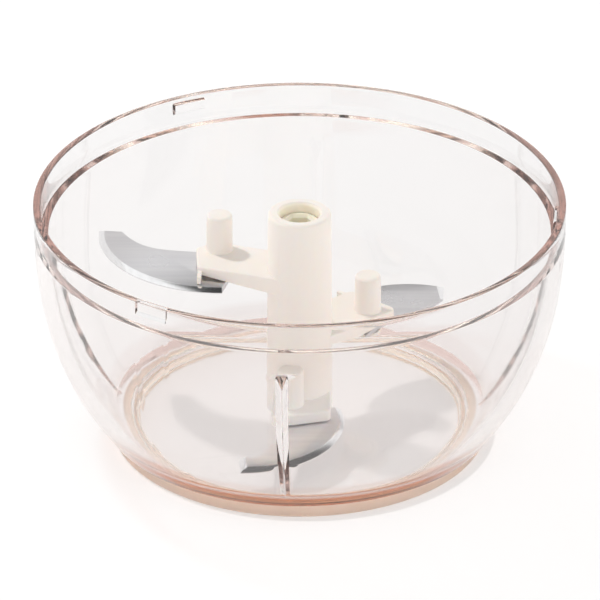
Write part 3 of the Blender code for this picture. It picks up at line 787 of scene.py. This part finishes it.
def build_lip(name, tier, paint):
    """The lip at the arm's end that comes down on the blade."""
    front = Vector((tier["arm_out_front"], -tier["arm_front"]))
    back = Vector((tier["arm_out_back"], tier["arm_end_back"]))
    thick = Vector((LIP_T, 0.0))
    set_in = thick / 4
    start = front - Vector((LIP_SKEW, LIP_REACH)) - set_in
    bend = front.lerp(back, LIP_SETBACK) - set_in
    end = front.lerp(back, 1 - LIP_SETBACK) - set_in
    corners = [start, bend, end, end - thick, bend - thick, start - thick]
    outline = [place(tier, p) for p in softened([(c.x, c.y, 0.00022) for c in corners], 3)]
    high = tier["arm_top"] - tier["tip_t"] / 2
    return slab(f"{name}_lip", outline, blade_top(tier) + SEAT_GAP, high, paint)


def stadium(tier, half, steps=16):
    """An outline round both pegs: two half circles of this radius and straight sides."""
    (out, high), (_, low) = peg_points(tier)
    outline = []
    for start, trail in ((0.0, high), (math.pi, low)):
        for k in range(steps + 1):
            angle = start + math.pi * k / steps
            point = (out + half * math.cos(angle), trail + half * math.sin(angle))
            outline.append(place(tier, point))
    return outline


def moved(obj, tier, point):
    """Move a turned piece from the axis to a point of the tier."""
    x, y = place(tier, point)
    obj.data.transform(Matrix.Translation((x, y, 0.0)))
    return obj


def build_post(name, tier, paint):
    """The upright post, with a small fillet where it stands on the arm."""
    top = tier["arm_top"] + POST_H
    sunk = tier["arm_top"] - POST_SUNK
    profile = [
        (0.0, top, 0),
        (POST_R - 0.0001, top, 0.0007),
        (POST_R, tier["arm_top"], 0.0006),
        (POST_FOOT_R, tier["arm_top"] - 0.0001, 0),
        (POST_FOOT_R, sunk, 0),
        (0.0, sunk, 0),
    ]
    post = turned(f"{name}_post", profile, paint, segments=48, steps=5)
    return moved(post, tier, (tier["post_out"], POST_TRAIL))


def build_peg(name, tier, point, paint):
    """A peg under the arm, with the staked head that holds the keeper plate."""
    low = keeper_low(tier)
    middle = tier["arm_top"] - tier["tip_t"] / 2
    profile = [
        (0.0, middle, 0),
        (PEG_R, middle, 0),
        (PEG_R, low + PEG_HEAD_T, 0),
        (PEG_HEAD_R, low, 0.0002),
        (0.0, low, 0),
    ]
    return moved(turned(name, profile, paint, segments=32), tier, point)


def build_hub(paint):
    """The cream moulding: hub, arms, posts, lips and pegs in one, bored from both ends."""
    profile = [
        (0.0, HUB_TOP, 0),
        (HUB_TOP_R, HUB_TOP, 0.0008),
        (HUB_FOOT_R, HUB_FOOT, 0.0005),
        (0.0, HUB_FOOT, 0),
    ]
    hub = turned("cream_hub", profile, paint, segments=96, steps=6)
    others = []
    for name, tier in TIERS.items():
        others += [build_arm(name, tier, paint), build_post(name, tier, paint)]
        if tier["tip_t"] < ARM_TO_BLADE - SEAT_GAP:
            low, high = blade_top(tier) + SEAT_GAP, tier["arm_top"] - tier["tip_t"] / 2
            others.append(build_lip(name, tier, paint))
            others.append(slab(f"{name}_pad", stadium(tier, PAD_W / 2), low, high, paint))
        for k, point in enumerate(peg_points(tier)):
            others.append(build_peg(f"{name}_peg_{k}", tier, point, paint))
    hub = combine(hub, others, "UNION")
    foot = [
        (0.0, CROWN_Z, 0),
        (BUSH_BORE_R, CROWN_Z, 0),
        (BUSH_BORE_R, SHOULDER_Z, 0),
        (SKIRT_R, SHOULDER_Z, 0),
        (SKIRT_R, HUB_FOOT + 0.0003, 0),
        (SKIRT_R + SKIRT_FLARE, HUB_FOOT - CUT_PAST, 0),
        (0.0, HUB_FOOT - CUT_PAST, 0),
    ]
    mouth = [
        (0.0, HUB_TOP + CUT_PAST, 0),
        (SOCKET_BORE_R + MOUTH_FLARE, HUB_TOP + CUT_PAST, 0),
        (SOCKET_BORE_R, HUB_TOP - MOUTH_DEPTH, 0.0008),
        (SOCKET_BORE_R, SOCKET_FOOT - SEAT_GAP, 0),
        (0.0, SOCKET_FOOT - SEAT_GAP, 0),
    ]
    foot_cut = turned("foot_bore", foot, segments=64)
    mouth_cut = turned("mouth_bore", mouth, segments=96, steps=6)
    return combine(hub, [foot_cut, mouth_cut], "DIFFERENCE")


def build_socket(paint):
    """The drive socket: a sleeve with a six-sided hole and a chamfered mouth."""
    profile = [
        (0.0, SOCKET_TOP, 0),
        (SOCKET_R, SOCKET_TOP, 0.0003),
        (SOCKET_R, SOCKET_FOOT, 0.0002),
        (0.0, SOCKET_FOOT, 0),
    ]
    socket = turned("yellow_socket", profile, paint, segments=64)
    corner = SOCKET_AF / math.sqrt(3)
    sections = (
        (SOCKET_FOOT - CUT_PAST, corner),
        (SOCKET_TOP - SOCKET_CHAMFER, corner),
        (SOCKET_TOP - SOCKET_CHAMFER + CUT_PAST, corner + CUT_PAST),
    )
    turns = [math.pi * k / 3 for k in range(6)]
    rings = []
    for z, radius in sections:
        hexagon = [(radius * math.cos(turn), radius * math.sin(turn), 0.0005) for turn in turns]
        rings.append([(x, y, z) for x, y in softened(hexagon, 3)])
    return combine(socket, [lofted("drive_hole", rings)], "DIFFERENCE")


def inner_r(z):
    """The radius of the wall's inner side at this height, fillet and all."""
    centre_z = FLOOR_TOP + FILLET_R
    centre_r = moved_in(height_where(WALL + FILLET_R, centre_z), WALL + FILLET_R)[0]
    wall_r = moved_in(height_where(WALL, z), WALL)[0]
    if z >= centre_z:
        return wall_r
    return min(wall_r, centre_r + math.sqrt(max(FILLET_R**2 - (centre_z - z) ** 2, 0.0)))


def reach(tier):
    """How far out the blade's tip comes: clear of the ribs by the tier's gap."""
    z = blade_top(tier)
    return inner_r(z) - rib_depth(z, 0.0) - tier["wall_gap"]


def lead_arc(tier, inward, steps=56):
    """The cutting edge, an arc from the root to the tip, moved inward by this distance."""
    turn = math.radians(tier["tip_turn"])
    root = Vector((tier["root_out"], -tier["root_lead"]))
    tip = Vector((math.cos(turn), math.sin(turn))) * reach(tier)
    chord = tip - root
    rise = math.sqrt(max(tier["lead_r"] ** 2 - (chord.length / 2) ** 2, 0.0))
    centre = (root + tip) / 2 + Vector((-chord.y, chord.x)).normalized() * rise
    start = math.atan2(root.y - centre.y, root.x - centre.x)
    end = math.atan2(tip.y - centre.y, tip.x - centre.x) - inward / tier["lead_r"]
    radius = (root - centre).length - inward
    return [
        (centre.x + radius * math.cos(start + (end - start) * k / steps),
         centre.y + radius * math.sin(start + (end - start) * k / steps))
        for k in range(steps + 1)
    ]


def back_edge(tier, inward, steps=40):
    """The blade's back, a curve from the tip's far corner to the root, begun this much later."""
    cut = math.radians(tier["tip_cut"])
    tip_line = Vector((math.cos(cut), math.sin(cut))) * tier["tip_width"]
    start = Vector(lead_arc(tier, 0.0)[-1]) + tip_line
    end = Vector((tier["root_out"], tier["root_back"]))
    along = end - start
    across = Vector((-along.y, along.x)).normalized()
    first, second = (start + along * share + across * depth for share, depth in tier["waist"])
    late = inward / (3 * (first - start).length)
    points = []
    for k in range(steps + 1):
        f = late + (1 - late) * k / steps
        g = 1 - f
        point = g**3 * start + 3 * g * g * f * first + 3 * g * f * f * second + f**3 * end
        points.append(tuple(point))
    return points


def hole_cutter(name, radius, low, high, segments=32):
    """A cylinder on the axis that cuts a round hole."""
    profile = [(0.0, high, 0), (radius, high, 0), (radius, low, 0), (0.0, low, 0)]
    return turned(name, profile, segments=segments)


def build_blade(name, tier, flat, ground):
    """A flat blade with its ground edge: root, cutting edge and round the tip."""
    top = blade_top(tier)
    outer = [place(tier, p) for p in lead_arc(tier, 0.0) + back_edge(tier, 0.0)]
    inner = [place(tier, p) for p in lead_arc(tier, BEVEL_W) + back_edge(tier, BEVEL_W)]
    rings = [
        [(x, y, z) for x, y in outline]
        for outline, z in ((outer, top - BLADE_T), (outer, top - BLADE_T + EDGE_T), (inner, top))
    ]
    blade = lofted(f"steel_blade_{name}", rings, flat, ground)
    low, high = top - 2 * BLADE_T, top + BLADE_T
    cuts = []
    for k, point in enumerate(peg_points(tier)):
        hole = hole_cutter(f"{name}_hole_{k}", PEG_R + SEAT_GAP, low, high)
        cuts.append(moved(hole, tier, point))
    notch_r = HUB_FOOT_R + SEAT_GAP
    if tier["root_out"] < notch_r:
        cuts.append(hole_cutter(f"{name}_notch", notch_r, low, high, segments=96))
    blade = combine(blade, cuts, "DIFFERENCE")
    for face in blade.data.polygons:
        face.material_index = 1 if GROUND_LOW < face.normal.z < GROUND_HIGH else 0
    return blade


def build_keeper(name, tier, paint):
    """The keeper plate, its two holes opening downwards round the pegs' heads."""
    low = keeper_low(tier)
    outline = stadium(tier, PEG_HEAD_R + KEEPER_MARGIN)
    keeper = slab(f"keeper_{name}", outline, low, low + KEEPER_T, paint, round_low=0.0003)
    cuts = []
    for k, point in enumerate(peg_points(tier)):
        hole = [
            (0.0, low + KEEPER_T + CUT_PAST, 0),
            (PEG_R + SEAT_GAP, low + KEEPER_T + CUT_PAST, 0),
            (PEG_R + SEAT_GAP, low + PEG_HEAD_T + SEAT_GAP / 2, 0),
            (PEG_HEAD_R + SEAT_GAP, low + SEAT_GAP / 2, 0),
            (PEG_HEAD_R + SEAT_GAP, low - CUT_PAST, 0),
            (0.0, low - CUT_PAST, 0),
        ]
        cuts.append(moved(turned(f"{name}_keeper_hole_{k}", hole, segments=32), tier, point))
    return combine(keeper, cuts, "DIFFERENCE")


def build_foot_ring(paint):
    """The elastic ring round the foot rib, with the lip it stands on."""
    inner = FOOT_RIB_R + SEAT_GAP
    top = CORNER_Z - SEAT_GAP
    profile = [
        (inner, top, 0.0002),
        (RING_R, top, 0.0003),
        (RING_R, 0.0, 0.0009),
        (FOOT_RIB_R - FOOT_RIB_T, 0.0, 0.0003),
        (FOOT_RIB_R - FOOT_RIB_T, RING_LIP_T, 0.0003),
        (inner, RING_LIP_T, 0.0002),
    ]
    return turned("foot_ring", profile, paint, segments=144)


# The object


def put(obj, body, slot, *replaced):
    """Attach a piece to its body and hide the solids it stands for; slot is not used."""
    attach(obj, body)
    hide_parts(*replaced)
    return obj


put(build_bowl(clear_plastic()), "bowl", "bowl_plastic", "bowl")
put(build_foot_ring(ring_rubber()), "bowl", "ring_rubber", "nonslip_ring")

# pale and inside are painted light: the hub's foot and bore are painted paler
cream = moulded(
    "cream plastic", (0.92, 0.862, 0.805), (0.90, 0.837, 0.77),
    pale=(1.0, 0.98, 0.955), inside=(1.0, 0.925, 0.79),
)
put(build_hub(cream), "blade_unit", "hub_plastic", "blade_hub")
nylon = moulded("pale yellow nylon", (1.0, 0.935, 0.78), (1.0, 0.915, 0.73), 0.42)
put(build_socket(nylon), "blade_unit", "socket_nylon", "drive_socket")
keeper_cream = moulded("keeper plastic", (0.88, 0.82, 0.74), (0.86, 0.79, 0.70), 0.40)
for name, tier in TIERS.items():
    turn = -math.radians(tier["azimuth"])
    flat = sheet_steel(f"{name} blade steel", turn, STEEL_PAINTED_LIGHT[name])
    blade = build_blade(name, tier, flat, ground_steel(f"{name} ground edge", turn))
    put(blade, "blade_unit", "blade_steel", f"blade_{name}")
    keeper = build_keeper(name, tier, keeper_cream)
    put(keeper, "blade_unit", "keeper_plastic", f"blade_keeper_{name}")

acetal = moulded("acetal", (0.87, 0.86, 0.83), (0.85, 0.84, 0.81), 0.38, 0.2)
plain_solids = {"thrust_washer": acetal, "spindle_bush": acetal, "spindle_pin": pin_steel()}
for node, paint in plain_solids.items():
    for slot in nodes[node].material_slots:
        slot.material = paint


# Floor, light and camera


# How bright the floor and the backdrop are where they show through the clear walls
SEEN_THROUGH = 0.905

# The table: its own glow, its colour under the lamp, and the grain that varies the colour
FLOOR_SIZE = 6.0
FLOOR_BELOW = 0.00005
FLOOR_GLOW = 0.375
FLOOR_LIT = 0.67
FLOOR_GRAIN = 0.004

# The even light from the sides and from above, and how much stronger it is at the far right and left
AMBIENT_SIDE = 1.05
AMBIENT_TOP = 0.40
FROM_RIGHT = 1.75
FROM_LEFT = 1.35

# The studio as polished pieces mirror it: white, but dark above, leaning to the right, and a little
# dim on the viewer's side
MIRROR_ABOVE = 0.05
MIRROR_FRONT = 0.80
LEAN = 0.3

# The lamp and the camera
KEY = dict(azimuth=52, elevation=59, distance=0.9, size=0.06, power=2.95, colour=(1.0, 0.99, 0.975))
LAMP_AIM = Vector((0, 0, 0.02))
CAMERA_ELEVATION = math.radians(27.9)
CAMERA_DISTANCE = 2.5
CAMERA_LENS = 607.5
CAMERA_AIM = Vector((0.0001, 0.0, 0.03573))


def build_floor():
    """A white table that keeps the object's shadow."""
    bm = bmesh.new()
    bmesh.ops.create_grid(bm, x_segments=2, y_segments=2, size=FLOOR_SIZE)
    bmesh.ops.translate(bm, verts=bm.verts, vec=(0, 0, -FLOOR_BELOW))
    p = Paint("white table", (1.0, 1.0, 1.0), 0.6)
    grain = p.span(p.noise(35.0, 4.0), FLOOR_LIT - FLOOR_GRAIN, FLOOR_LIT + FLOOR_GRAIN)
    path = p.node("ShaderNodeLightPath")
    dimming = p.math("MULTIPLY", path.outputs["Is Transmission Ray"], 1.0 - SEEN_THROUGH)
    level = p.math("SUBTRACT", 1.0, dimming)
    lit = p.node("ShaderNodeBsdfDiffuse")
    p.link(p.math("MULTIPLY", grain, level), lit.inputs["Color"])
    glow = p.node("ShaderNodeEmission")
    glow.inputs["Color"].default_value = (1, 1, 1, 1)
    p.link(p.math("MULTIPLY", level, FLOOR_GLOW), glow.inputs["Strength"])
    both = p.node("ShaderNodeAddShader")
    p.link(lit.outputs[0], both.inputs[0])
    p.link(glow.outputs[0], both.inputs[1])
    p.link(both.outputs[0], p.out.inputs["Surface"])
    floor = finish_mesh("floor", bm, p.material)
    return floor


build_floor()


def build_world():
    """White to the camera, a studio to mirrors, the backdrop through clear walls, else even light."""
    world = bpy.data.worlds.new("studio")
    world.use_nodes = True
    scene.world = world
    tree = world.node_tree
    tree.nodes.clear()

    def node(kind, **settings):
        made = tree.nodes.new(kind)
        for key, value in settings.items():
            setattr(made, key, value)
        return made

    def span(source, start, end, low, high):
        made = node("ShaderNodeMapRange", interpolation_type="SMOOTHSTEP")
        for key, value in (("From Min", start), ("From Max", end), ("To Min", low), ("To Max", high)):
            made.inputs[key].default_value = value
        tree.links.new(source, made.inputs["Value"])
        return made.outputs["Result"]

    def joined(operation, first, second):
        made = node("ShaderNodeMath", operation=operation)
        tree.links.new(first, made.inputs[0])
        tree.links.new(second, made.inputs[1])
        return made.outputs[0]

    def background(level):
        """Light of this level, a number or a socket."""
        made = node("ShaderNodeBackground")
        made.inputs["Strength"].default_value = 1.0
        if isinstance(level, float):
            made.inputs["Color"].default_value = (level, level, level, 1.0)
        else:
            tree.links.new(level, made.inputs["Color"])
        return made.outputs[0]

    def picked(ray, other, shown):
        """What is shown to rays of this kind, in place of the other."""
        made = node("ShaderNodeMixShader")
        tree.links.new(path.outputs[ray], made.inputs["Fac"])
        tree.links.new(other, made.inputs[1])
        tree.links.new(shown, made.inputs[2])
        return made.outputs[0]

    path = node("ShaderNodeLightPath")
    axes = node("ShaderNodeSeparateXYZ")
    tree.links.new(node("ShaderNodeTexCoord").outputs["Generated"], axes.inputs[0])
    x, y, z = (axes.outputs[name] for name in "XYZ")

    # The spans run over the parts of the direction, which go from -1 to 1
    lean = node("ShaderNodeMath", operation="MULTIPLY")
    tree.links.new(x, lean.inputs[0])
    lean.inputs[1].default_value = LEAN
    above = span(joined("ADD", z, lean.outputs[0]), 0.70, 0.86, 1.0, MIRROR_ABOVE)
    left = span(x, -0.28, -0.12, 1.0, 0.0)
    front = span(y, -0.75, -0.15, MIRROR_FRONT, 1.0)
    mirrored = background(joined("MULTIPLY", joined("MAXIMUM", above, left), front))

    height = span(z, 0.15, 0.85, AMBIENT_SIDE, AMBIENT_TOP)
    right_side = span(x, 0.25, 0.90, 1.0, FROM_RIGHT)
    left_side = span(x, -0.90, -0.30, FROM_LEFT, 1.0)
    even = background(joined("MULTIPLY", height, joined("MULTIPLY", right_side, left_side)))

    light = picked("Is Glossy Ray", even, mirrored)
    light = picked("Is Transmission Ray", light, background(SEEN_THROUGH))
    light = picked("Is Camera Ray", light, background(1.0))
    out = node("ShaderNodeOutputWorld")
    tree.links.new(light, out.inputs["Surface"])


build_world()


def add_lamp(name, azimuth, elevation, distance, size, power, colour):
    """A square soft lamp aimed at the bowl; azimuth 0 is behind it, 90 to its left."""
    data = bpy.data.lights.new(name, "AREA")
    data.shape = "SQUARE"
    data.size = size
    data.energy = power
    data.color = colour
    lamp = bpy.data.objects.new(name, data)
    a, e = math.radians(azimuth), math.radians(elevation)
    back = Vector((-math.sin(a) * math.cos(e), math.cos(a) * math.cos(e), math.sin(e)))
    lamp.location = LAMP_AIM + back * distance
    lamp.rotation_euler = (-back).to_track_quat("-Z", "Y").to_euler()
    lamp.visible_glossy = False
    lamp.visible_transmission = False
    scene.collection.objects.link(lamp)


add_lamp("key", **KEY)


def build_camera():
    data = bpy.data.cameras.new("camera")
    data.sensor_width = 36.0
    data.lens = CAMERA_LENS
    data.clip_start = 0.05
    data.clip_end = 50.0
    camera = bpy.data.objects.new("camera", data)
    back = Vector((0, -math.cos(CAMERA_ELEVATION), math.sin(CAMERA_ELEVATION)))
    camera.location = CAMERA_AIM + back * CAMERA_DISTANCE
    camera.rotation_euler = (math.pi / 2 - CAMERA_ELEVATION, 0, 0)
    scene.collection.objects.link(camera)
    scene.camera = camera


build_camera()

# Light goes round many times inside a clear wall before it comes out.
scene.cycles.max_bounces = 32
scene.cycles.glossy_bounces = 24
scene.cycles.transmission_bounces = 24
scene.cycles.transparent_max_bounces = 32
